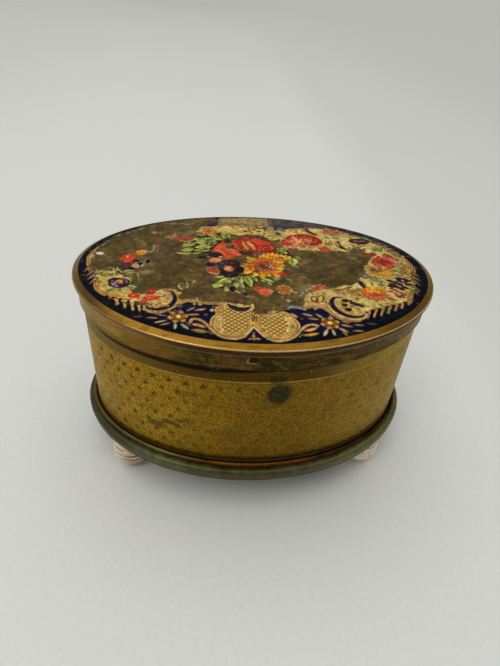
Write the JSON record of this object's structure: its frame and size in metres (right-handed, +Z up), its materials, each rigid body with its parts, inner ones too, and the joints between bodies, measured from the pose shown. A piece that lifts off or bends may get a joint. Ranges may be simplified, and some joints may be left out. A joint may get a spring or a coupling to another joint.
{
  "type": "trinket box",
  "caption": "Oval metal trinket box with a rear-hinged lid, a printed panel in a rolled rim, a stepped plinth and ribbed ball feet.",
  "frame": {"origin": "on the ground under the middle of the box", "axes": "+Z up, +X along the long side to the viewer's right, -Y towards the front"},
  "size_m": [0.1212, 0.0866, 0.0738],
  "materials": {
    "gilt_rim": "worn gilt with brown tarnish",
    "printed_panel": "litho print in navy, cream and gold, worn to bare metal in patches",
    "star_printed_tin": "gold ground with a dark band and rows of small dark stars",
    "patinated_brass": "dull, green patina",
    "copper_bead": "orange-brown tarnish",
    "rose_metal": "polished, slightly pink",
    "plain_steel": "plain zinc",
    "plain_tin": "plain tinplate",
    "hinge_brass": "dull brass",
    "grey_card": "plain grey card",
    "velvet": "dark blue velvet"
  },
  "bodies": {
    "box_body": {"base_bead": "copper_bead", "base_plate": "plain_tin", "base_plinth": "patinated_brass", "body_wall": "star_printed_tin", "floor_card": "grey_card", "floor_lining": "velvet", "foot_front_left": "rose_metal", "foot_front_right": "rose_metal", "foot_rear_left": "rose_metal", "foot_rear_right": "rose_metal", "foot_screw_front_left": "plain_steel", "foot_screw_front_right": "plain_steel", "foot_screw_rear_left": "plain_steel", "foot_screw_rear_right": "plain_steel", "foot_washer_front_left": "plain_steel", "foot_washer_front_right": "plain_steel", "foot_washer_rear_left": "plain_steel", "foot_washer_rear_right": "plain_steel", "hinge_body_leaf": "hinge_brass", "hinge_pin": "hinge_brass", "neck_ring": "plain_tin", "wall_lining": "velvet"},
    "lid": {"lid_bezel": "gilt_rim", "lid_panel": "printed_panel", "lid_backing_card": "grey_card", "lid_lining": "velvet", "hinge_lid_leaf": "hinge_brass"}
  },
  "joints": [
    {"name": "lid_hinge", "type": "hinge", "parent": "box_body", "child": "lid", "pos_m": [0, 0.04175, 0.0623], "axis": [-1, 0, 0], "range_deg": [0, 105]}
  ]
}
